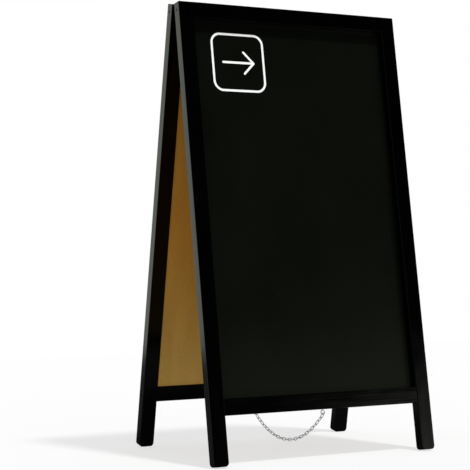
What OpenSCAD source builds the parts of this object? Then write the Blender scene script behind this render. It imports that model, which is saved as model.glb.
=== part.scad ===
// Folding pavement chalkboard. Two framed boards lean on each other, two butt hinges join their top
// rails, and a chain joins their bottom rails. Units are millimetres, +Z is up, and the origin is on
// the floor midway between the four legs. The front board faces -Y.
//
// A board is drawn flat in its own axes: X across, Y out through its thickness from the inner face,
// and Z up its length from the bottom of its legs. on_rear() and on_front() lean it into place.

/* [Board] */
// Width of each board
board_w = 560; // [420:5:800]
// Length of each board from the foot of its legs to its top edge
board_l = 1000; // [700:10:1300]
// Thickness of the frame timber
frame_t = 22; // [20:0.5:30]
// Lean of each board from upright, in degrees
lean = 9.6; // [7:0.1:13]

/* [Frame] */
// Face width of the stiles, which run on down as the legs
stile_w = 35; // [32:1:60]
// Face width of the top rail
top_rail_w = 35; // [34:1:60]
// Face width of the bottom rail
bottom_rail_w = 35; // [34:1:60]
// Clear height of the legs below the bottom rail
leg_l = 105; // [80:1:200]
// Radius of the corners at the foot of each leg
foot_r = 8; // [2:0.5:12]

/* [Panel] */
// Thickness of the brown backing board
panel_t = 2.6; // [2:0.1:4]
// Thickness of the black writing surface on it
surface_t = 0.4; // [0.3:0.1:1]
// Distance from the inner face of the frame to the back of the panel
panel_inset = 2; // [1.5:0.1:4]
// Depth of the groove that holds the panel
groove_d = 8; // [5:0.5:9]
// Clearance of the panel in its groove on each side
panel_clear = 0.1; // [0.05:0.05:0.3]

/* [Corner joints] */
// Diameter of the dowels
dowel_d = 8; // [6:0.5:9]
// Distance between the two dowels of a joint
dowel_pitch = 18; // [14:1:22]
// Depth of a dowel in the stile
dowel_in_stile = 15; // [10:1:20]
// Depth of a dowel in the rail
dowel_in_rail = 23; // [15:1:35]
// Shank diameter of the corner screws
corner_screw_d = 4; // [3:0.5:5]
// Length of the corner screws
corner_screw_l = 60; // [50:1:80]
// Head diameter of the corner screws
corner_head_d = 6; // [5.5:0.5:8]
// Depth of the head of the corner screws
corner_head_l = 4; // [2:0.5:6]
// How far the heads lie below the face of the stile
corner_head_sink = 0.4; // [0.2:0.1:2]
// Clearance round dowels and screws in the wood
wood_clear = 0.1; // [0.05:0.05:0.3]

/* [Hinges] */
// Distance from the hinge axis to the inner face of each board
axis_off = 4.8; // [4.6:0.1:8]
// Depth of the hinge axis below the top edge of the boards
axis_drop = 5; // [0:0.5:8]
// Distance of each hinge from the middle of the board
hinge_x = 170; // [120:5:175]
// Length of a hinge along its axis
hinge_l = 50; // [45:1:70]
// Depth of a leaf below the hinge axis
leaf_l = 26; // [24:1:28]
// Thickness of a leaf
leaf_t = 1.5; // [1:0.1:2]
// Radius of the knuckles
knuckle_r = 4.4; // [4:0.1:4.5]
// Gap between the knuckles
knuckle_gap = 0.4; // [0.3:0.1:1]
// Diameter of the hinge pin
pin_d = 3; // [2:0.5:4]
// Running clearance round the pin
pin_clear = 0.05; // [0.02:0.01:0.1]
// Diameter of the head at each end of the pin
pin_head_d = 5; // [4.5:0.5:6]
// Thickness of the heads of the pin
pin_head_t = 0.8; // [0.5:0.1:2]
// Shank diameter of the hinge screws
hinge_screw_d = 3.5; // [3:0.5:4]
// Head diameter of the hinge screws
hinge_head_d = 6.6; // [6:0.2:7.5]
// Length of the hinge screws
hinge_screw_l = 16; // [12:1:18]
// Length of the point of the hinge screws
screw_point_l = 3; // [1:0.5:5]
// Spacing of the hinge screws
hinge_screw_pitch = 17; // [15:1:20]
// Depth of the hinge screws below the hinge axis
hinge_screw_drop = 15; // [13:1:17]

/* [Chain] */
// Wire diameter of the links
link_wire_d = 2; // [1.5:0.1:2.2]
// Length of the hole in a link
link_hole_l = 13.1; // [11:0.1:20]
// Width of a link outside
link_w = 8; // [7.5:0.5:10]
// Gap between the wires of neighbouring links
link_gap = 0.2; // [0.1:0.05:0.4]
// Height of the middle of the chain above the floor, before its length is cut to whole links
chain_clear = 19; // [12:1:50]
// Wire diameter of the screw eyes
eye_wire_d = 2.3; // [1.8:0.1:2.4]
// Radius of a screw eye to the middle of its wire
eye_r = 4.5; // [4:0.25:6]
// Length of the neck between a screw eye and its rail
eye_neck = 1; // [0.5:0.5:4]
// Depth of the thread of a screw eye in its rail
eye_thread_l = 14; // [10:1:20]

/* [Mark] */
// Distance of the white mark from the middle of the board, to the left
mark_x = 134; // [110:1:160]
// Distance of the middle of the mark below the top edge of the board
mark_drop = 126; // [115:1:200]
// Height and width of the mark
mark_size = 132; // [100:2:140]
// Width of its lines
mark_line = 5; // [3:0.5:8]
// Corner radius of its outline
mark_r = 24; // [12:1:40]
// Length of its arrow
mark_arrow_l = 76; // [50:2:90]
// Length of the two strokes of the arrow's head
mark_barb_l = 34; // [20:1:40]
// Thickness of the white layer
mark_t = 0.2; // [0.1:0.05:0.3]

/* [Hidden] */
$fn = 48;

paint = [0.03, 0.03, 0.032];
chalk_black = [0.07, 0.07, 0.07];
hardboard = [0.5, 0.39, 0.19];
beech = [0.75, 0.6, 0.42];
black_steel = [0.02, 0.02, 0.02];
zinc = [0.7, 0.7, 0.72];
white = [0.95, 0.95, 0.93];

// A cut runs this far past the face that it opens
past = 1;

// Frame
rail_l = board_w - 2 * stile_w;
stile_x = rail_l / 2;
top_rail_z = board_l - top_rail_w;
bottom_rail_top = leg_l + bottom_rail_w;
opening_l = top_rail_z - bottom_rail_top;
mid_t = frame_t / 2;
top_joint_z = board_l - top_rail_w / 2;
bottom_joint_z = leg_l + bottom_rail_w / 2;

// Panel and its groove
groove_y = panel_inset - panel_clear;
groove_t = panel_t + surface_t + 2 * panel_clear;
panel_w = rail_l + 2 * (groove_d - panel_clear);
panel_l = opening_l + 2 * (groove_d - panel_clear);
surface_y = panel_inset + panel_t;

// Hinge axis
axis_z = board_l - axis_drop;
axis_height = axis_z * cos(lean) - axis_off * sin(lean);
knuckle_l = (hinge_l - 2 * knuckle_gap) / 3;
leaf_top = axis_z - knuckle_r - knuckle_gap;
leaf_bottom = axis_z - leaf_l;

// Height and distance from the middle of a point on the rear board, given its place on the board
function leaned_y(y, z) = (axis_off + y) * cos(lean) - (z - axis_z) * sin(lean);
function leaned_z(y, z) = axis_height + (axis_off + y) * sin(lean) + (z - axis_z) * cos(lean);

// Screw eyes: the chain hangs on the lowest part of each ring
eye_z = leg_l - eye_neck - eye_r - eye_wire_d / 2;
hang_y = leaned_y(mid_t, eye_z - eye_r);
hang_z = leaned_z(mid_t, eye_z - eye_r);

// Chain: a catenary between the two rings, cut to an odd number of whole links, so that the link at
// each end stands upright in its ring
function sinh(x) = (exp(x) - exp(-x)) / 2;
function cosh(x) = (exp(x) + exp(-x)) / 2;
function asinh(x) = ln(x + sqrt(x * x + 1));
function root(f, low, high, steps = 40) =
  let (mid = (low + high) / 2)
  steps == 0 ? mid : f(mid) > 0 ? root(f, low, mid, steps - 1) : root(f, mid, high, steps - 1);

span = 2 * hang_y;
link_pitch = link_hole_l - link_gap;
end_overlap = eye_wire_d + link_gap;
wanted_sag = hang_z - chain_clear;
wanted_shape = root(function (q) (cosh(q) - 1) / (2 * q) - wanted_sag / span, 0.01, 4);
wanted_l = span * sinh(wanted_shape) / wanted_shape;
link_count = 2 * floor(((wanted_l + end_overlap) / link_pitch - 1) / 2) + 1;
chain_l = link_count * link_pitch - end_overlap;
chain_shape = root(function (q) sinh(q) / q - chain_l / span, 0.01, 4);
curve_r = span / (2 * chain_shape);
chain_low = hang_z - curve_r * (cosh(chain_shape) - 1);

// Placing
module on_rear()
  translate([0, 0, axis_height]) rotate([lean, 0, 0]) translate([0, axis_off, -axis_z]) children();

module on_front() mirror([0, 1, 0]) on_rear() children();

module left() mirror([1, 0, 0]) children();

module both_sides() {
  children();
  left() children();
}

module rod_x(d, l) rotate([0, 90, 0]) cylinder(d = d, h = l);

module rod_y(d, l) rotate([-90, 0, 0]) cylinder(d = d, h = l);

// Dowel and screw places of the right end of a rail
module at_dowels() for (z = [top_joint_z, bottom_joint_z], side = [-1, 1])
  translate([stile_x, mid_t, z + side * dowel_pitch / 2]) children();

module at_corner_screws() for (z = [top_joint_z, bottom_joint_z])
  translate([board_w / 2 - corner_head_sink, mid_t, z]) children();

module at_hinge_screws() for (i = [-1:1])
  translate([hinge_x + i * hinge_screw_pitch, 0, axis_z - hinge_screw_drop]) children();

module corner_screw(clear = 0) {
  translate([-corner_screw_l - clear, 0, 0])
    rod_x(corner_screw_d + 2 * clear, corner_screw_l + clear);
  translate([-corner_head_l - clear, 0, 0]) rod_x(corner_head_d + 2 * clear, corner_head_l + clear);
}

module corner_screw_hole() {
  corner_screw(wood_clear);
  rod_x(corner_head_d + 2 * wood_clear, corner_head_sink + past);
}

module dowel(clear = 0) translate([-dowel_in_rail - clear, 0, 0])
  rod_x(dowel_d + 2 * clear, dowel_in_rail + dowel_in_stile + 2 * clear);

module hinge_screw(clear = 0) rotate([-90, 0, 0]) {
  translate([0, 0, -leaf_t])
    cylinder(d1 = hinge_head_d + 2 * clear, d2 = hinge_screw_d + 2 * clear, h = leaf_t);
  cylinder(d = hinge_screw_d + 2 * clear, h = hinge_screw_l - leaf_t - screw_point_l);
  translate([0, 0, hinge_screw_l - leaf_t - screw_point_l])
    cylinder(d1 = hinge_screw_d + 2 * clear, d2 = 0.4 + 2 * clear, h = screw_point_l + clear);
}

module corner_cuts() {
  at_dowels() dowel(wood_clear);
  at_corner_screws() corner_screw_hole();
}

// Face outline of a leg's end, square above and rounded at the floor
module stile_outline() {
  translate([0, foot_r]) square([stile_w, board_l - foot_r]);
  translate([foot_r, 0]) square([stile_w - 2 * foot_r, foot_r + past]);
  for (x = [foot_r, stile_w - foot_r]) translate([x, foot_r]) circle(r = foot_r);
}

module groove() translate([-panel_w / 2 - panel_clear, groove_y, bottom_rail_top - groove_d])
  cube([panel_w + 2 * panel_clear, groove_t, opening_l + 2 * groove_d]);

module stile() color(paint) difference() {
  translate([stile_x, frame_t, 0]) rotate([90, 0, 0]) linear_extrude(frame_t) stile_outline();
  groove();
  corner_cuts();
}

module top_rail() color(paint) difference() {
  translate([-stile_x, 0, top_rail_z]) cube([rail_l, frame_t, top_rail_w]);
  groove();
  both_sides() {
    corner_cuts();
    at_hinge_screws() hinge_screw(wood_clear);
  }
}

module bottom_rail() color(paint) difference() {
  translate([-stile_x, 0, leg_l]) cube([rail_l, frame_t, bottom_rail_w]);
  groove();
  both_sides() corner_cuts();
  translate([0, mid_t, leg_l - past])
    cylinder(d = eye_wire_d + 2 * wood_clear, h = eye_thread_l + past + wood_clear);
}

module panel() color(hardboard)
  translate([-panel_w / 2, panel_inset, bottom_rail_top - groove_d + panel_clear])
    cube([panel_w, panel_t, panel_l]);

module writing_surface() color(chalk_black)
  translate([-panel_w / 2, surface_y, bottom_rail_top - groove_d + panel_clear])
    cube([panel_w, surface_t, panel_l]);

module dowels() color(beech) both_sides() at_dowels() dowel();

module corner_screws() color(black_steel) both_sides() at_corner_screws() corner_screw();

module hinge_screws() color(zinc) both_sides() at_hinge_screws() hinge_screw();

module screw_eye() color(zinc) translate([0, mid_t, 0]) {
  translate([0, 0, eye_z]) rotate([90, 0, 0]) rotate_extrude() translate([eye_r, 0])
    circle(d = eye_wire_d);
  translate([0, 0, eye_z + eye_r]) cylinder(d = eye_wire_d, h = leg_l + eye_thread_l - eye_z - eye_r);
}

// One leaf of the hinge on the right, with its knuckles at the given places along the axis
module leaf(knuckles) color(zinc) difference() {
  union() {
    translate([hinge_x - hinge_l / 2, -leaf_t, leaf_bottom])
      cube([hinge_l, leaf_t, leaf_top - leaf_bottom]);
    for (i = knuckles) translate([hinge_x + i * (knuckle_l + knuckle_gap) - knuckle_l / 2, 0, 0]) {
      translate([0, -leaf_t, leaf_top - past]) cube([knuckle_l, leaf_t, axis_z - leaf_top + past]);
      translate([0, -axis_off, axis_z]) rod_x(2 * knuckle_r, knuckle_l);
    }
  }
  translate([hinge_x - hinge_l, -axis_off, axis_z]) rod_x(pin_d + 2 * pin_clear, 2 * hinge_l);
  at_hinge_screws() hinge_screw(wood_clear);
}

module front_leaf() leaf([-1, 1]);

module rear_leaf() leaf([0]);

module hinge_pin() color(zinc) translate([hinge_x - hinge_l / 2, -axis_off, axis_z]) {
  rod_x(pin_d, hinge_l);
  for (x = [-pin_head_t - pin_clear, hinge_l + pin_clear]) translate([x, 0, 0])
    rod_x(pin_head_d, pin_head_t);
  translate([-pin_clear - pin_head_t, 0, 0]) rod_x(pin_d, hinge_l + 2 * (pin_clear + pin_head_t));
}

// A plain arrow in a square outline with round corners
module round_square(size, r) {
  square([size, size - 2 * r], center = true);
  square([size - 2 * r, size], center = true);
  for (x = [-1, 1], y = [-1, 1]) translate([x, y] * (size / 2 - r)) circle(r = r);
}

module stroke(l) {
  translate([-l, -mark_line / 2]) square([l, mark_line]);
  for (x = [-l, 0]) translate([x, 0]) circle(d = mark_line);
}

module mark_outline() {
  difference() {
    round_square(mark_size, mark_r);
    round_square(mark_size - 2 * mark_line, mark_r - mark_line);
  }
  translate([mark_arrow_l / 2, 0]) for (turn = [[0, mark_arrow_l], [45, mark_barb_l], [-45, mark_barb_l]])
    rotate(turn[0]) stroke(turn[1]);
}

module mark() color(white) translate([-mark_x, surface_y + surface_t, board_l - mark_drop])
  rotate([90, 0, 0]) translate([0, 0, -mark_t]) linear_extrude(mark_t) mark_outline();

// One link along Y with its face towards X: two straight sides and two half rings
module link() {
  bend_r = (link_w - link_wire_d) / 2;
  side_l = link_hole_l + 2 * link_wire_d - link_w;
  rotate([0, 90, 0]) for (end = [0, 1]) mirror([0, end, 0]) {
    translate([0, side_l / 2, 0]) rotate_extrude(angle = 180) translate([bend_r, 0])
      circle(d = link_wire_d);
    translate([end == 0 ? bend_r : -bend_r, side_l / 2, 0]) rotate([90, 0, 0])
      cylinder(d = link_wire_d, h = side_l);
  }
}

module chain() color(zinc) for (i = [0:link_count - 1]) {
  along = (i - (link_count - 1) / 2) * link_pitch;
  translate([0, curve_r * asinh(along / curve_r), chain_low + sqrt(curve_r ^ 2 + along ^ 2) - curve_r])
    rotate([atan(along / curve_r), 0, 0]) rotate([0, i % 2 == 0 ? 0 : 90, 0]) link();
}

on_front() left() stile();  // front_left_stile
on_front() stile();  // front_right_stile
on_front() top_rail();  // front_top_rail
on_front() bottom_rail();  // front_bottom_rail
on_front() panel();  // front_panel
on_front() writing_surface();  // front_writing_surface
on_front() dowels();  // front_dowels
on_front() corner_screws();  // front_corner_screws
on_front() screw_eye();  // front_screw_eye
on_front() mark();  // front_mark
on_front() hinge_screws();  // front_hinge_screws
on_front() left() front_leaf();  // left_hinge_front_leaf
on_front() front_leaf();  // right_hinge_front_leaf
on_front() left() hinge_pin();  // left_hinge_pin
on_front() hinge_pin();  // right_hinge_pin
chain();
on_rear() left() stile();  // rear_left_stile
on_rear() stile();  // rear_right_stile
on_rear() top_rail();  // rear_top_rail
on_rear() bottom_rail();  // rear_bottom_rail
on_rear() panel();  // rear_panel
on_rear() writing_surface();  // rear_writing_surface
on_rear() dowels();  // rear_dowels
on_rear() corner_screws();  // rear_corner_screws
on_rear() screw_eye();  // rear_screw_eye
on_rear() hinge_screws();  // rear_hinge_screws
on_rear() left() rear_leaf();  // left_hinge_rear_leaf
on_rear() rear_leaf();  // right_hinge_rear_leaf
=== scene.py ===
"""Looks of the folding pavement chalkboard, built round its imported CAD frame. Lengths are in metres.

The boards' timbers, screws, screw eyes and chain are rebuilt here as finished meshes in place of their CAD
nodes. The panels, writing surfaces, dowels, hinge leaves, pins and the mark keep their CAD meshes and get
node materials. The floor, the sun and the world are the studio round the object.
"""

import math

import bmesh
import bpy
from mathutils import Matrix, Vector


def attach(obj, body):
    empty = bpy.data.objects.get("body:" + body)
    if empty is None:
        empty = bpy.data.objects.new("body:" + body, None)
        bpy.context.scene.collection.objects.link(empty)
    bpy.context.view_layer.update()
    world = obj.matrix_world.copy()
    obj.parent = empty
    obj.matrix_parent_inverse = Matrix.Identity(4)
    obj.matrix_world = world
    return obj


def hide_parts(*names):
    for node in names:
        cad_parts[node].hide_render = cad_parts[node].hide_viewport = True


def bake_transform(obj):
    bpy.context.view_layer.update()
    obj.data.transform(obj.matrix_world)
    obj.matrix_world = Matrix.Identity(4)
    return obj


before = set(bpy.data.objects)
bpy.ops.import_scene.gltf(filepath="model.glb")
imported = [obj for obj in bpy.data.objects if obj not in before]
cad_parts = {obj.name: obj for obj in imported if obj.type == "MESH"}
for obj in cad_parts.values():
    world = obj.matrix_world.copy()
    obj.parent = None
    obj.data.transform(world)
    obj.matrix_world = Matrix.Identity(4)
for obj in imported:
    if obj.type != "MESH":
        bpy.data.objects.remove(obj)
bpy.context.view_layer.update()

# ---- Sizes of the CAD model ----
BOARD_W = 0.560
BOARD_L = 1.000
FRAME_T = 0.022
LEAN = math.radians(9.6)
STILE_W = 0.035
RAIL_W = 0.035
LEG_L = 0.105
FOOT_R = 0.008
WOOD_CLEAR = 0.0001

AXIS_OFF = 0.0048
AXIS_DROP = 0.005
AXIS_Z = BOARD_L - AXIS_DROP
LEAF_T = 0.0015
HINGE_X = 0.170
HINGE_SCREW_D = 0.0035
HINGE_HEAD_D = 0.0066
HINGE_SCREW_PITCH = 0.017
HINGE_SCREW_DROP = 0.015
HINGE_SCREW_Z = AXIS_Z - HINGE_SCREW_DROP
SCREW_POINT_L = 0.003

CORNER_SCREW_D = 0.004
CORNER_SCREW_L = 0.060
CORNER_HEAD_D = 0.006
CORNER_HEAD_L = 0.004
CORNER_HEAD_SINK = 0.0004

EYE_R = 0.0045
EYE_WIRE_D = 0.0023
EYE_NECK = 0.001
EYE_Z = LEG_L - EYE_NECK - EYE_R - EYE_WIRE_D / 2
EYE_THREAD_L = 0.014

LINK_WIRE_D = 0.002
LINK_HOLE_L = 0.0131
LINK_W = 0.008
LINK_GAP = 0.0002
LINK_PITCH = LINK_HOLE_L - LINK_GAP
LINK_COUNT = 29

MID_T = FRAME_T / 2
STILE_X = BOARD_W / 2 - STILE_W
TOP_JOINT_Z = BOARD_L - RAIL_W / 2
BOTTOM_JOINT_Z = LEG_L + RAIL_W / 2
AXIS_HEIGHT = AXIS_Z * math.cos(LEAN) - AXIS_OFF * math.sin(LEAN)

FRONT, REAR = "front", "rear"
BODY = {FRONT: "front_board", REAR: "rear_board"}


def on_board(side):
    """The matrix from a board's own axes (X across, Y out through it, Z up its length) to the frame."""
    rear = (
        Matrix.Translation((0, 0, AXIS_HEIGHT))
        @ Matrix.Rotation(LEAN, 4, "X")
        @ Matrix.Translation((0, AXIS_OFF, -AXIS_Z))
    )
    return Matrix.Scale(-1, 4, (0, 1, 0)) @ rear if side == FRONT else rear


# ---- Camera ----
CAMERA_AT = Vector((-1.7244, -2.9061, 0.4930))
CAMERA_YAW = math.radians(28.807)
CAMERA_PITCH = math.radians(-0.1715)
CAMERA_LENS = 114.21
SENSOR_W = 36
CLIP_NEAR = 0.05
CLIP_FAR = 60


def make_camera():
    data = bpy.data.cameras.new("camera")
    data.lens = CAMERA_LENS
    data.sensor_width = SENSOR_W
    data.clip_start = CLIP_NEAR
    data.clip_end = CLIP_FAR
    camera = bpy.data.objects.new("camera", data)
    camera.location = CAMERA_AT
    camera.rotation_euler = (math.pi / 2 + CAMERA_PITCH, 0, -CAMERA_YAW)
    bpy.context.scene.collection.objects.link(camera)
    bpy.context.scene.camera = camera


make_camera()


# ---- Colours and patterns ----
PAINT_DARK = (0.0002, 0.0002, 0.0002)
PAINT_LIGHT = (0.0005, 0.0005, 0.0005)
SLATE_DARK = (0.0018, 0.0026, 0.0013)
SLATE_LIGHT = (0.0026, 0.0036, 0.002)
# Painted sheen: the writing surface is drawn lighter and greener towards its foot, for light reflected there
SHEEN_FOOT_DARK = (0.0044, 0.0056, 0.0032)
SHEEN_FOOT_LIGHT = (0.0054, 0.0068, 0.004)
# The hardboard's plain brown, used low down
LOWER_BROWN_DARK = (0.318, 0.182, 0.034)
LOWER_BROWN_LIGHT = (0.447, 0.272, 0.063)
# Painted bounced light and shade: the upper hardboard is drawn redder, as if lit only by light bounced
# between the boards
BOUNCE_RED_DARK = (0.36, 0.167, 0.016)
BOUNCE_RED_LIGHT = (0.505, 0.248, 0.032)
MARK_DARK = (0.75, 0.75, 0.73)
MARK_LIGHT = (0.95, 0.95, 0.94)
BEECH_DARK = (0.42, 0.26, 0.13)
BEECH_LIGHT = (0.6, 0.42, 0.24)
ZINC_COLOUR = (0.84, 0.85, 0.91)
BLACK_STEEL_COLOUR = (0.03, 0.03, 0.032)

# The heights between which the writing surface's painted sheen at its foot gives way to plain slate, and the
# hardboard's lower brown gives way to a redder top that paints the bounced light and shade between the
# boards
SHEEN_FOOT_HEIGHT = (0.13, 0.3)
BOUNCE_RED_HEIGHT = (0.2, 0.5)

# The timbers' own attribute, which holds each point's place along, across and through its timber
GRAIN = "grain"

# How often each noise repeats per metre: along the timber, across it and through it
PAINT_GRAIN = (6, 160, 160)
PAINT_DRAG = (3, 420, 420)
PAINT_CLOUD = (7, 14, 14)
PAINT_WAVE = (11, 20, 20)
PAINT_STREAK = (9, 70, 70)

# The same along X, Y and Z
WIPED_CLOUD = (5, 5, 3)
BOARD_TOOTH = (1500, 1500, 1500)
BOARD_FIBRE = (330, 330, 140)
BOARD_STREAK = (26, 26, 4)
PLATING = (260, 260, 260)
MARK_GRAIN = (900, 900, 900)
BEECH_GRAIN = (40, 900, 900)
UNSCALED = (1, 1, 1)

# Bump heights
WAVE_H = 0.0005
GRAIN_H = 0.00014
DRAG_H = 0.00005
TOOTH_H = 0.00004
FIBRE_H = 0.00015
MARK_H = 0.00005

# Least and most roughness. The paint's two add up.
STREAK_GLOSS = (0.06, 0.14)
DRAG_GLOSS = (0.01, 0.04)
SLATE_GLOSS = (0.26, 0.34)

# The plating's darkest share of its colour, and how far its roughness goes down and up
PLATING_DARK = 0.78
PLATING_SMOOTHER = 0.08
PLATING_ROUGHER = 0.1

STREAK_SHARE = 0.5
MARK_SPAN = (0.2, 0.45)

# A Mix node's inputs: the factor, the pair of numbers and the pair of colours. Its colour is output 2.
MIX_FACTOR = 0
MIX_NUMBERS = (2, 3)
MIX_COLOURS = (6, 7)
MIX_COLOUR_OUT = 2


# ---- Node helpers, for a material's nodes or the world's ----
def new_material(name, **inputs):
    """A Principled material, with these of its sockets set."""
    material = bpy.data.materials.new(name)
    material.use_nodes = True
    shader = material.node_tree.nodes["Principled BSDF"]
    for socket, value in inputs.items():
        shader.inputs[socket.replace("_", " ")].default_value = value
    return material, shader


def add_node(owner, kind, **values):
    """A node of this kind. A value named for an input sets it, and any other sets a property of the node."""
    node = owner.node_tree.nodes.new(kind)
    for key, value in values.items():
        if key in node.inputs:
            node.inputs[key].default_value = value
        else:
            setattr(node, key, value)
    return node


def link(owner, start, end):
    owner.node_tree.links.new(start, end)


def maths(owner, operation, a, b):
    """The result of a maths node on two outputs."""
    node = add_node(owner, "ShaderNodeMath", operation=operation)
    link(owner, a, node.inputs[0])
    link(owner, b, node.inputs[1])
    return node.outputs[0]


def choose(owner, choice, no, yes):
    """The shader no where the choice is 0, and yes where it is 1."""
    mix = add_node(owner, "ShaderNodeMixShader")
    for start, socket in zip((choice, no, yes), mix.inputs):
        link(owner, start, socket)
    return mix.outputs[0]


def spread(owner, value, low, high, start=0.3, end=0.7, interpolation="LINEAR"):
    """value, from start to end, spread over low to high."""
    node = add_node(owner, "ShaderNodeMapRange", interpolation_type=interpolation)
    for socket, number in zip(("From Min", "From Max", "To Min", "To Max"), (start, end, low, high)):
        node.inputs[socket].default_value = number
    link(owner, value, node.inputs["Value"])
    return node.outputs["Result"]


def coordinates(material, scale, attribute=None):
    """Coordinates stretched by scale: a mesh attribute's, or else the object's own, in metres."""
    mapping = add_node(material, "ShaderNodeMapping", Scale=scale)
    if attribute:
        source = add_node(material, "ShaderNodeAttribute", attribute_name=attribute).outputs["Vector"]
    else:
        source = add_node(material, "ShaderNodeTexCoord").outputs["Object"]
    link(material, source, mapping.inputs["Vector"])
    return mapping.outputs["Vector"]


def noise(material, repeats, detail=4.0, roughness=0.55, attribute=None):
    """Noise that repeats this often per metre along each axis."""
    texture = add_node(material, "ShaderNodeTexNoise", Scale=1.0, Detail=detail, Roughness=roughness)
    link(material, coordinates(material, repeats, attribute), texture.inputs["Vector"])
    return texture.outputs["Fac"]


def tint(material, value, low, high, start=0.3, end=0.7):
    """A colour between low and high as value goes from start to end."""
    ramp = add_node(material, "ShaderNodeValToRGB")
    for element, place, colour in zip(ramp.color_ramp.elements, (start, end), (low, high)):
        element.position = place
        element.color = (*colour, 1)
    link(material, value, ramp.inputs["Fac"])
    return ramp.outputs["Color"]


def blend_by_height(material, lower, upper, start, end):
    """A colour that turns from lower into upper as the height goes from start to end."""
    height = add_node(material, "ShaderNodeSeparateXYZ")
    link(material, coordinates(material, UNSCALED), height.inputs[0])
    mix = add_node(material, "ShaderNodeMix", data_type="RGBA")
    link(material, spread(material, height.outputs["Z"], 0, 1, start, end), mix.inputs[MIX_FACTOR])
    for colour, place in zip((lower, upper), MIX_COLOURS):
        link(material, colour, mix.inputs[place])
    return mix.outputs[MIX_COLOUR_OUT]


def add_bump(material, shader, value, height):
    """Bumps of this height in metres. Calls stack."""
    bump = add_node(material, "ShaderNodeBump", Strength=1.0, Distance=height)
    link(material, value, bump.inputs["Height"])
    before = shader.inputs["Normal"]
    if before.is_linked:
        link(material, before.links[0].from_socket, bump.inputs["Normal"])
    link(material, bump.outputs["Normal"], before)


# ---- Node materials ----
def paint_material():
    """Glossy black paint over softwood: faint grain along each timber, brush drag and a slight waviness."""
    material, shader = new_material("black_paint", Roughness=0.13, Specular_IOR_Level=0.2)
    grain = noise(material, PAINT_GRAIN, detail=5.0, roughness=0.6, attribute=GRAIN)
    drag = noise(material, PAINT_DRAG, detail=3.0, attribute=GRAIN)
    cloud = noise(material, PAINT_CLOUD, detail=3.0, attribute=GRAIN)
    wave = noise(material, PAINT_WAVE, detail=1.0, attribute=GRAIN)
    streak = noise(material, PAINT_STREAK, attribute=GRAIN)
    link(material, tint(material, cloud, PAINT_DARK, PAINT_LIGHT), shader.inputs["Base Color"])
    streak_gloss = spread(material, streak, *STREAK_GLOSS)
    drag_gloss = spread(material, drag, *DRAG_GLOSS)
    link(material, maths(material, "ADD", streak_gloss, drag_gloss), shader.inputs["Roughness"])
    add_bump(material, shader, wave, WAVE_H)
    add_bump(material, shader, grain, GRAIN_H)
    add_bump(material, shader, drag, DRAG_H)
    return material


def writing_material():
    """Chalkboard coating: fine tooth, soft clouds where chalk was wiped off, and a painted sheen that makes
    it lighter towards its foot.
    """
    material, shader = new_material("writing_surface", Roughness=0.3, Specular_IOR_Level=0.15)
    wiped = noise(material, WIPED_CLOUD, detail=6.0, roughness=0.6)
    plain_slate = tint(material, wiped, SLATE_DARK, SLATE_LIGHT)
    # Painted sheen: a lighter slate towards the foot stands in for reflected light
    sheen_foot = tint(material, wiped, SHEEN_FOOT_DARK, SHEEN_FOOT_LIGHT)
    link(material, blend_by_height(material, sheen_foot, plain_slate, *SHEEN_FOOT_HEIGHT), shader.inputs["Base Color"])
    link(material, spread(material, wiped, *SLATE_GLOSS), shader.inputs["Roughness"])
    add_bump(material, shader, noise(material, BOARD_TOOTH, detail=3.0), TOOTH_H)
    return material


def hardboard_material():
    """Raw brown hardboard: pressed fibres, streaks, and a redder upper part painted for the bounced light
    and shade between the boards.
    """
    material, shader = new_material("hardboard", Roughness=0.75, Specular_IOR_Level=0.2)
    fibre = noise(material, BOARD_FIBRE, detail=6.0, roughness=0.7)
    streak = noise(material, BOARD_STREAK)
    mix = add_node(material, "ShaderNodeMix", data_type="FLOAT")
    mix.inputs[MIX_FACTOR].default_value = STREAK_SHARE
    for value, place in zip((fibre, streak), MIX_NUMBERS):
        link(material, value, mix.inputs[place])
    lower_brown = tint(material, mix.outputs[0], LOWER_BROWN_DARK, LOWER_BROWN_LIGHT)
    bounce_red = tint(material, mix.outputs[0], BOUNCE_RED_DARK, BOUNCE_RED_LIGHT)
    # Painted bounced light and shade: the hardboard turns redder towards the top
    link(material, blend_by_height(material, lower_brown, bounce_red, *BOUNCE_RED_HEIGHT), shader.inputs["Base Color"])
    add_bump(material, shader, fibre, FIBRE_H)
    return material


def metal_material(name, colour, roughness, metallic=1.0):
    """A metal, whose dull plating below metallic 1 also scatters some light."""
    material, shader = new_material(name, Metallic=metallic, Roughness=roughness)
    plating = noise(material, PLATING)
    dark = tuple(PLATING_DARK * channel for channel in colour)
    link(material, tint(material, plating, dark, colour), shader.inputs["Base Color"])
    gloss = spread(material, plating, roughness - PLATING_SMOOTHER, roughness + PLATING_ROUGHER)
    link(material, gloss, shader.inputs["Roughness"])
    return material


def mark_material():
    """White marking with the grain of the board showing through a little."""
    material, shader = new_material("white_mark", Roughness=0.9)
    grain = noise(material, MARK_GRAIN)
    link(material, tint(material, grain, MARK_DARK, MARK_LIGHT, *MARK_SPAN), shader.inputs["Base Color"])
    add_bump(material, shader, grain, MARK_H)
    return material


def wood_material():
    material, shader = new_material("dowel_wood", Roughness=0.6)
    grain = noise(material, BEECH_GRAIN)
    link(material, tint(material, grain, BEECH_DARK, BEECH_LIGHT), shader.inputs["Base Color"])
    return material


PAINT = paint_material()
WRITING = writing_material()
HARDBOARD = hardboard_material()
ZINC = metal_material("zinc", ZINC_COLOUR, roughness=0.35, metallic=0.45)
BLACK_STEEL = metal_material("black_screws", BLACK_STEEL_COLOUR, roughness=0.45)
MARK = mark_material()
BEECH = wood_material()


# ---- Meshes ----
SHARP_FROM = 40
WIRE_SHARP_FROM = 60


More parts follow.
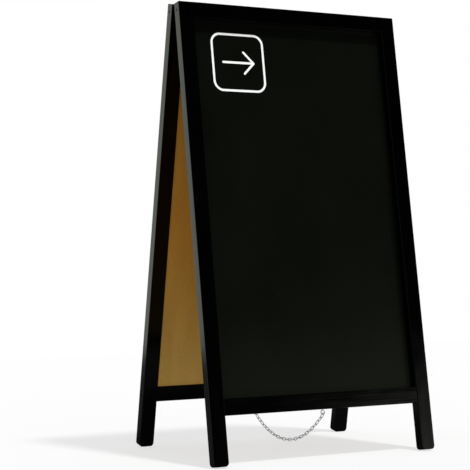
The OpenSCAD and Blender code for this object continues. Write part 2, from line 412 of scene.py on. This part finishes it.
def make_piece(name, mesh_maker, side, material, nodes, smooth=SHARP_FROM):
    """A piece made in a board's own axes, put in place, riding on that board and standing for its nodes."""
    shape = bmesh.new()
    mesh_maker(shape)
    place = on_board(side)
    bmesh.ops.transform(shape, matrix=place, verts=shape.verts)
    if place.determinant() < 0:
        bmesh.ops.reverse_faces(shape, faces=shape.faces)
    return add_piece(name, shape, BODY[side], material, nodes, smooth)


def add_piece(name, shape, body, material, nodes, smooth=SHARP_FROM):
    """A piece that stands for its nodes."""
    mesh = bpy.data.meshes.new(name)
    shape.to_mesh(mesh)
    shape.free()
    mesh.materials.append(material)
    mesh.shade_smooth()
    mesh.set_sharp_from_angle(angle=math.radians(smooth))
    piece = bpy.data.objects.new(name, mesh)
    bpy.context.scene.collection.objects.link(piece)
    if body:
        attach(piece, body)
    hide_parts(*nodes)
    return piece


def arc(x, z, radius, start, end, steps):
    """Points of an arc in the X-Z plane, from start to end in degrees."""
    turns = [math.radians(start + (end - start) * i / steps) for i in range(steps + 1)]
    return [(x + radius * math.cos(t), z + radius * math.sin(t)) for t in turns]


def tube(shape, points, radii, sides, closed=False):
    """A round wire along the points, of these radii, whose cross-section turns with it without twist."""
    count = len(points)
    tangents = []
    for i, point in enumerate(points):
        before = points[i - 1] if closed or i else point
        after = points[(i + 1) % count] if closed or i + 1 < count else point
        tangents.append((after - before).normalized())
    normal = tangents[0].orthogonal().normalized()
    rings = []
    for point, tangent, radius in zip(points, tangents, radii):
        normal = (normal - tangent * normal.dot(tangent)).normalized()
        other = tangent.cross(normal)
        turns = [2 * math.pi * k / sides for k in range(sides)]
        ring = [point + radius * (math.cos(t) * normal + math.sin(t) * other) for t in turns]
        rings.append([shape.verts.new(p) for p in ring])
    spans = list(zip(rings, rings[1:] + rings[:1] if closed else rings[1:]))
    for a, b in spans:
        for k in range(sides):
            shape.faces.new((a[k], a[(k + 1) % sides], b[(k + 1) % sides], b[k]))
    if not closed:
        shape.faces.new(list(reversed(rings[0])))
        shape.faces.new(rings[-1])
    bmesh.ops.recalc_face_normals(shape, faces=shape.faces)


# ---- Timbers ----
ARRIS = 0.0016
RAIL_ARRIS = 0.0012
ARRIS_STEPS = 3
TOP_CORNER_R = 0.0018
FOOT_STEPS = 8
CORNER_STEPS = 3
FACING_OUT = 0.99
HOLE_R = CORNER_HEAD_D / 2 + WOOD_CLEAR
HOLE_DEPTH = CORNER_HEAD_L + CORNER_HEAD_SINK + WOOD_CLEAR
HOLE_SIDES = 32
GRAIN_STEP = Vector((1.7, 0.9, 0.4))
RAIL_SEED = 5


def cut_out(shape, outline):
    """A board cut to this outline in X and Z, from Y 0 to the timber's thickness, with sharp arrises."""
    front = shape.faces.new([shape.verts.new((x, 0, z)) for x, z in outline])
    grown = bmesh.ops.extrude_face_region(shape, geom=[front])["geom"]
    moved = [v for v in grown if isinstance(v, bmesh.types.BMVert)]
    bmesh.ops.translate(shape, verts=moved, vec=(0, FRAME_T, 0))
    bmesh.ops.recalc_face_normals(shape, faces=shape.faces)


def round_edges(shape, edges, radius):
    bmesh.ops.bevel(
        shape, geom=edges, offset=radius, segments=ARRIS_STEPS, profile=0.5, affect="EDGES"
    )


def stile_maker(sign):
    def make(shape):
        near, far = STILE_X, BOARD_W / 2
        outline = (
            arc(near + FOOT_R, FOOT_R, FOOT_R, 180, 270, FOOT_STEPS)
            + arc(far - FOOT_R, FOOT_R, FOOT_R, 270, 360, FOOT_STEPS)
            + arc(far - TOP_CORNER_R, BOARD_L - TOP_CORNER_R, TOP_CORNER_R, 0, 90, CORNER_STEPS)
            + [(near, BOARD_L)]
        )
        cut_out(shape, outline)
        broad = [f for f in shape.faces if abs(f.normal.y) > FACING_OUT]
        round_edges(shape, list({e for f in broad for e in f.edges}), ARRIS)
        if sign < 0:
            bmesh.ops.scale(shape, vec=(-1, 1, 1), verts=shape.verts)
            bmesh.ops.reverse_faces(shape, faces=shape.faces)

    return make


def rail_maker(bottom):
    def make(shape):
        top = bottom + RAIL_W
        cut_out(shape, [(-STILE_X, bottom), (STILE_X, bottom), (STILE_X, top), (-STILE_X, top)])
        long_edges = [e for e in shape.edges if abs(e.verts[0].co.x - e.verts[1].co.x) > RAIL_W]
        round_edges(shape, long_edges, RAIL_ARRIS)

    return make


def cut_holes(piece, side, places, radius, depth):
    """Round pockets in a timber's outer side, at places in the board's own axes, opening along X."""
    shape = bmesh.new()
    for place in places:
        bmesh.ops.create_cone(
            shape,
            cap_ends=True,
            segments=HOLE_SIDES,
            radius1=radius,
            radius2=radius,
            depth=2 * depth,
            matrix=Matrix.Translation(place) @ Matrix.Rotation(math.pi / 2, 4, "Y"),
        )
    bmesh.ops.transform(shape, matrix=on_board(side), verts=shape.verts)
    bmesh.ops.recalc_face_normals(shape, faces=shape.faces)
    mesh = bpy.data.meshes.new("cutter")
    shape.to_mesh(mesh)
    shape.free()
    cutter = bpy.data.objects.new("cutter", mesh)
    bpy.context.scene.collection.objects.link(cutter)
    modifier = piece.modifiers.new("holes", "BOOLEAN")
    modifier.object = cutter
    modifier.operation = "DIFFERENCE"
    modifier.solver = "EXACT"
    bpy.context.view_layer.objects.active = piece
    bpy.ops.object.modifier_apply(modifier=modifier.name)
    bpy.data.objects.remove(cutter)


def stamp_grain(piece, side, along, seed):
    """Each point's place in its timber, for the paint's noise. The seed moves it on for each timber."""
    start = GRAIN_STEP * seed
    to_board = on_board(side).inverted()
    layer = piece.data.attributes.new(GRAIN, "FLOAT_VECTOR", "POINT")
    for vertex, value in zip(piece.data.vertices, layer.data):
        x, y, z = to_board @ vertex.co
        across, length = (x, z) if along == "Z" else (z, x)
        value.vector = start + Vector((length, across, y))


def keep_flats_flat(piece):
    piece.modifiers.new("flat_faces", "WEIGHTED_NORMAL").keep_sharp = True


def build_timbers(side, seed):
    """The grain is stamped after the pockets are cut, because the cut makes new points."""
    for name, sign in (("left", -1), ("right", 1)):
        node = f"{side}_{name}_stile"
        piece = make_piece(f"{node}_painted", stile_maker(sign), side, PAINT, [node])
        places = [(sign * BOARD_W / 2, MID_T, z) for z in (TOP_JOINT_Z, BOTTOM_JOINT_Z)]
        cut_holes(piece, side, places, HOLE_R, HOLE_DEPTH)
        stamp_grain(piece, side, "Z", seed + sign)
        piece.data.set_sharp_from_angle(angle=math.radians(SHARP_FROM))
        keep_flats_flat(piece)
    for name, bottom in (("top", BOARD_L - RAIL_W), ("bottom", LEG_L)):
        node = f"{side}_{name}_rail"
        piece = make_piece(f"{node}_painted", rail_maker(bottom), side, PAINT, [node])
        stamp_grain(piece, side, "X", seed + RAIL_SEED * bottom)
        keep_flats_flat(piece)


# ---- Screws ----
SCREW_SIDES = 48
SOCKET_DEPTH = 0.0016
SOCKET_TAPER = 0.8
HEXAGON_SIZE = 0.0013
CROSS_SIZE = 0.0019
CROSS_ARM = 0.24
NEARLY_ZERO = 1e-6
TIP_R = 0.0002
CORNER_CHAMFER = 0.0004
# Out of sight in the rail it is 1.5 mm shorter than in the CAD
HINGE_SCREW_L = 0.0145
# How far a hinge screw is turned for its place in the row and for its hinge
ROW_TURN = 0.7
HINGE_TURN = 0.4


def hexagon(turn, size):
    """Distance from the middle to a hexagon of this half width, in this direction."""
    within = (turn + math.pi / 6) % (math.pi / 3) - math.pi / 6
    return size / math.cos(within)


def cross(turn, size):
    """The same for a cross recess, whose arms reach out to size."""
    within = (turn + math.pi / 4) % (math.pi / 2) - math.pi / 4
    return min(size / math.cos(within), CROSS_ARM * size / max(abs(math.sin(within)), NEARLY_ZERO))


def screw(shape, place, rings, recess, recess_size):
    """A screw along Z, its head's face at Z 0, with rings of (radius, z) from the head's rim to the tip."""
    turns = [2 * math.pi * k / SCREW_SIDES for k in range(SCREW_SIDES)]

    def ring(radius_of, z):
        return [
            shape.verts.new(place @ Vector((radius_of(t) * math.cos(t), radius_of(t) * math.sin(t), z)))
            for t in turns
        ]

    floor_ring = ring(lambda t: SOCKET_TAPER * recess(t, recess_size), -SOCKET_DEPTH)
    loops = [floor_ring, ring(lambda t: recess(t, recess_size), 0.0)]
    loops += [ring(lambda t, r=radius: r, z) for radius, z in rings]
    for a, b in zip(loops, loops[1:]):
        for k in range(SCREW_SIDES):
            n = (k + 1) % SCREW_SIDES
            shape.faces.new((a[k], a[n], b[n], b[k]))
    shape.faces.new(floor_ring)
    shape.faces.new(loops[-1])
    bmesh.ops.recalc_face_normals(shape, faces=shape.faces)


def corner_screws_maker(shape):
    head = CORNER_HEAD_D / 2
    shank = CORNER_SCREW_D / 2
    rings = [
        (head - CORNER_CHAMFER, 0),
        (head, -CORNER_CHAMFER),
        (head, -CORNER_HEAD_L),
        (shank, -CORNER_HEAD_L),
        (shank, -CORNER_SCREW_L),
        (TIP_R, -CORNER_SCREW_L - TIP_R),
    ]
    for sign in (-1, 1):
        for z in (TOP_JOINT_Z, BOTTOM_JOINT_Z):
            place = Matrix.Translation((sign * (BOARD_W / 2 - CORNER_HEAD_SINK), MID_T, z))
            turned = place @ Matrix.Rotation(sign * math.pi / 2, 4, "Y")
            screw(shape, turned, rings, hexagon, HEXAGON_SIZE)


def hinge_screws_maker(shape):
    shank = HINGE_SCREW_D / 2
    rings = [
        (HINGE_HEAD_D / 2, 0),
        (shank, -LEAF_T),
        (shank, SCREW_POINT_L - HINGE_SCREW_L),
        (TIP_R, -HINGE_SCREW_L),
    ]
    for sign in (-1, 1):
        for i in (-1, 0, 1):
            x = sign * (HINGE_X + i * HINGE_SCREW_PITCH)
            place = Matrix.Translation((x, -LEAF_T, HINGE_SCREW_Z)) @ Matrix.Rotation(math.pi / 2, 4, "X")
            turned = place @ Matrix.Rotation(ROW_TURN * i + HINGE_TURN * sign, 4, "Z")
            screw(shape, turned, rings, cross, CROSS_SIZE)


# ---- Screw eyes ----
WIRE_SIDES = 12
THREAD_POINTS = 5
THREAD_STEP = 0.003
THREAD_TIP_R = 0.0006
# Points of the bend between the neck and the ring, from the top of the ring
NECK_BEND = ((0, 0.0011), (-0.0003, 0.0004))
# The ring's points in degrees, by steps from the start to before the end
RING_START = 104
RING_END = 426
RING_STEP = 10
RING_TAPER = 0.85


def screw_eye_maker(shape):
    """A ring of wire in the X-Z plane that turns down out of its shank and stops just short of it."""
    middle = Vector((0, MID_T, EYE_Z))
    thread_top = LEG_L - EYE_Z + EYE_THREAD_L
    flat = [(0, thread_top - THREAD_STEP * k) for k in range(THREAD_POINTS)]
    flat += [(x, EYE_R + z) for x, z in NECK_BEND]
    turns = [math.radians(t) for t in range(RING_START, RING_END, RING_STEP)]
    flat += [(EYE_R * math.cos(t), EYE_R * math.sin(t)) for t in turns]
    points = [middle + Vector((x, 0, z)) for x, z in flat]
    radii = [EYE_WIRE_D / 2] * len(points)
    radii[0] = THREAD_TIP_R
    radii[-1] *= RING_TAPER
    tube(shape, points, radii, WIRE_SIDES)


# ---- Chain ----
BEND_R = (LINK_W - LINK_WIRE_D) / 2
BEND_STEPS = 12
SIDE_L = LINK_HOLE_L + 2 * LINK_WIRE_D - LINK_W
EYE_OVERLAP = EYE_WIRE_D + LINK_GAP
# The weld: places along the link's side, as shares of its length, and how much of the bulge each has
WELD = ((0.12, 0), (0.07, 0.8), (0.03, 1), (-0.03, 1), (-0.07, 0.8), (-0.12, 0))
WELD_BULGE = 0.13
# Half the chain's span, divided by the radius of its lowest part, is looked for between these
FLATTEST = 0.01
STEEPEST = 4
HALVINGS = 60


def leaned(y, z):
    """Where a point of the rear board lies: its distance from the middle and its height."""
    place = on_board(REAR) @ Vector((0, y, z))
    return place.y, place.z


def root(f, low, high):
    """Where f, which rises, is 0 between low and high."""
    for _ in range(HALVINGS):
        middle = (low + high) / 2
        low, high = (low, middle) if f(middle) > 0 else (middle, high)
    return low


def chain_curve():
    """The catenary that the chain hangs in: its radius at the bottom and its lowest height."""
    hang_y, hang_z = leaned(MID_T, EYE_Z - EYE_R)
    length = LINK_COUNT * LINK_PITCH - EYE_OVERLAP
    shape = root(lambda q: math.sinh(q) / q - length / (2 * hang_y), FLATTEST, STEEPEST)
    radius = hang_y / shape
    return radius, hang_z - radius * (math.cosh(shape) - 1)


def link_outline():
    """Points round one link in the Y-Z plane, long along Y, and the share of weld bulge at each."""
    points = []
    for end in (1, -1):
        for k in range(BEND_STEPS + 1):
            t = math.radians(-90 + 180 * k / BEND_STEPS)
            points.append((end * (SIDE_L / 2 + BEND_R * math.cos(t)), end * BEND_R * math.sin(t), 0))
        if end > 0:
            points += [(SIDE_L * x, BEND_R, bulge) for x, bulge in WELD]
    return points


def chain_maker(shape):
    """The links one by one, with each point's share of the way along the chain kept in an attribute."""
    radius, low = chain_curve()
    share = shape.verts.layers.float.new("share")
    for i in range(LINK_COUNT):
        along = (i - (LINK_COUNT - 1) / 2) * LINK_PITCH
        height = low + math.hypot(radius, along) - radius
        place = (
            Matrix.Translation((0, radius * math.asinh(along / radius), height))
            @ Matrix.Rotation(math.atan(along / radius), 4, "X")
            @ Matrix.Rotation(math.pi / 2 * (i % 2), 4, "Y")
        )
        outline = link_outline()
        points = [place @ Vector((0, y, z)) for y, z, _ in outline]
        radii = [LINK_WIRE_D / 2 * (1 + WELD_BULGE * bulge) for _, _, bulge in outline]
        known = set(shape.verts)
        tube(shape, points, radii, WIRE_SIDES, closed=True)
        for v in shape.verts:
            if v not in known:
                v[share] = i / (LINK_COUNT - 1)


def build_chain():
    """The chain as one stiff piece on neither board, with each point's share of the way along the chain read
    back.
    """
    shape = bmesh.new()
    chain_maker(shape)
    piece = add_piece("chain_links", shape, None, ZINC, ["chain"], WIRE_SHARP_FROM)
    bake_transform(piece)
    shares = [0.0] * len(piece.data.vertices)
    piece.data.attributes["share"].data.foreach_get("value", shares)


# ---- Build ----
SEEDS = {FRONT: 3, REAR: 11}
FITTINGS = (
    ("corner_screw_heads", corner_screws_maker, BLACK_STEEL, "black_screws", "corner_screws"),
    ("hinge_screws_cross", hinge_screws_maker, ZINC, "zinc", "hinge_screws"),
    ("screw_eye_wire", screw_eye_maker, ZINC, "zinc", "screw_eye"),
)

for side in (FRONT, REAR):
    build_timbers(side, SEEDS[side])
    for name, maker, material, slot, node in FITTINGS:
        make_piece(f"{side}_{name}", maker, side, material, [f"{side}_{node}"])
build_chain()

CAD_FINISH = {
    "panel": (HARDBOARD, "hardboard"),
    "writing_surface": (WRITING, "writing_surface"),
    "dowels": (BEECH, "dowel_wood"),
    "mark": (MARK, "white_mark"),
    "leaf": (ZINC, "zinc"),
    "pin": (ZINC, "zinc"),
}
for node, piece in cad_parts.items():
    for ending, (material, slot) in CAD_FINISH.items():
        if node.endswith(ending):
            piece.data.materials.clear()
            piece.data.materials.append(material)


# ---- Studio ----
FLOOR_SIZE = 5
FLOOR_DARK = 0.11
FLOOR_PALE = 0.26
FLOOR_FILL = 0.66
SUN_FROM = Vector((0.159, -0.355, 0.921))
SUN_STRENGTH = 2.3
SUN_ANGLE = math.radians(6)
TENT = 0.6

# The bright parts of the dark room: the strength, then the axes along which the direction has to reach
# from one value, where the part begins, to another, where it is in full
BACKDROP = (1.38, ("Y", 0.05, 0.5))
CEILING = (0.12, ("Z", 0.72, 0.95))
LEFT_WALL = (0.6, ("X", -0.65, -0.95))
LOW_GLOW = (1.25, ("X", 0.515, 0.585), ("Y", -0.3, -0.6), ("Z", 0.195, 0.12))
ROOM = (BACKDROP, CEILING, LEFT_WALL, LOW_GLOW)
ROOM_COLOUR = (0.98, 1.04, 0.92)


def matt(material, grey, fill):
    """A surface with no gloss, which also glows a little to lift its shadows."""
    node = add_node(material, "ShaderNodeBsdfPrincipled", Roughness=1.0)
    node.inputs["Specular IOR Level"].default_value = 0.0
    node.inputs["Base Color"].default_value = (grey, grey, grey, 1)
    node.inputs["Emission Color"].default_value = (1, 1, 1, 1)
    node.inputs["Emission Strength"].default_value = fill
    return node.outputs[0]


def build_floor():
    """A pale floor, which the gloss of the paint sees as a dark one."""
    shape = bmesh.new()
    bmesh.ops.create_grid(shape, x_segments=1, y_segments=1, size=FLOOR_SIZE / 2)
    mesh = bpy.data.meshes.new("floor")
    shape.to_mesh(mesh)
    shape.free()
    material = new_material("floor")[0]
    glossy = add_node(material, "ShaderNodeLightPath").outputs["Is Glossy Ray"]
    pale = matt(material, FLOOR_PALE, FLOOR_FILL)
    dark = matt(material, FLOOR_DARK, 0)
    surface = choose(material, glossy, pale, dark)
    link(material, surface, material.node_tree.nodes["Material Output"].inputs["Surface"])
    mesh.materials.append(material)
    floor = bpy.data.objects.new("floor", mesh)
    bpy.context.scene.collection.objects.link(floor)


def build_sun():
    data = bpy.data.lights.new("sun", "SUN")
    data.energy = SUN_STRENGTH
    data.angle = SUN_ANGLE
    sun = bpy.data.objects.new("sun", data)
    sun.rotation_euler = (-SUN_FROM).to_track_quat("-Z", "Y").to_euler()
    bpy.context.scene.collection.objects.link(sun)


def background(world, strength, colour=(1, 1, 1)):
    return add_node(world, "ShaderNodeBackground", Color=(*colour, 1), Strength=strength)


def bright_part(world, direction, strength, edges):
    """This strong where the direction is past all the edges, and nothing before them."""
    value = None
    for axis, start, end in edges:
        top = 1.0 if value else strength
        past = spread(world, direction.outputs[axis], 0, top, start, end, "SMOOTHSTEP")
        value = maths(world, "MULTIPLY", value, past) if value else past
    return value


def build_world():
    """A light tent that the camera sees as white, and gloss as a dark room with these bright parts."""
    world = bpy.data.worlds.new("studio")
    world.use_nodes = True
    bpy.context.scene.world = world
    world.node_tree.nodes.clear()
    direction = add_node(world, "ShaderNodeSeparateXYZ")
    link(world, add_node(world, "ShaderNodeTexCoord").outputs["Generated"], direction.inputs[0])
    total = None
    for strength, *edges in ROOM:
        part = bright_part(world, direction, strength, edges)
        total = maths(world, "ADD", total, part) if total else part
    room = background(world, 0, ROOM_COLOUR)
    link(world, total, room.inputs["Strength"])
    tent = background(world, TENT)
    white = background(world, 1)
    path = add_node(world, "ShaderNodeLightPath")
    lit = choose(world, path.outputs["Is Glossy Ray"], tent.outputs[0], room.outputs[0])
    seen = choose(world, path.outputs["Is Camera Ray"], lit, white.outputs[0])
    link(world, seen, add_node(world, "ShaderNodeOutputWorld").inputs["Surface"])


build_floor()
build_sun()
build_world()
bpy.context.scene.view_settings.view_transform = "Standard"
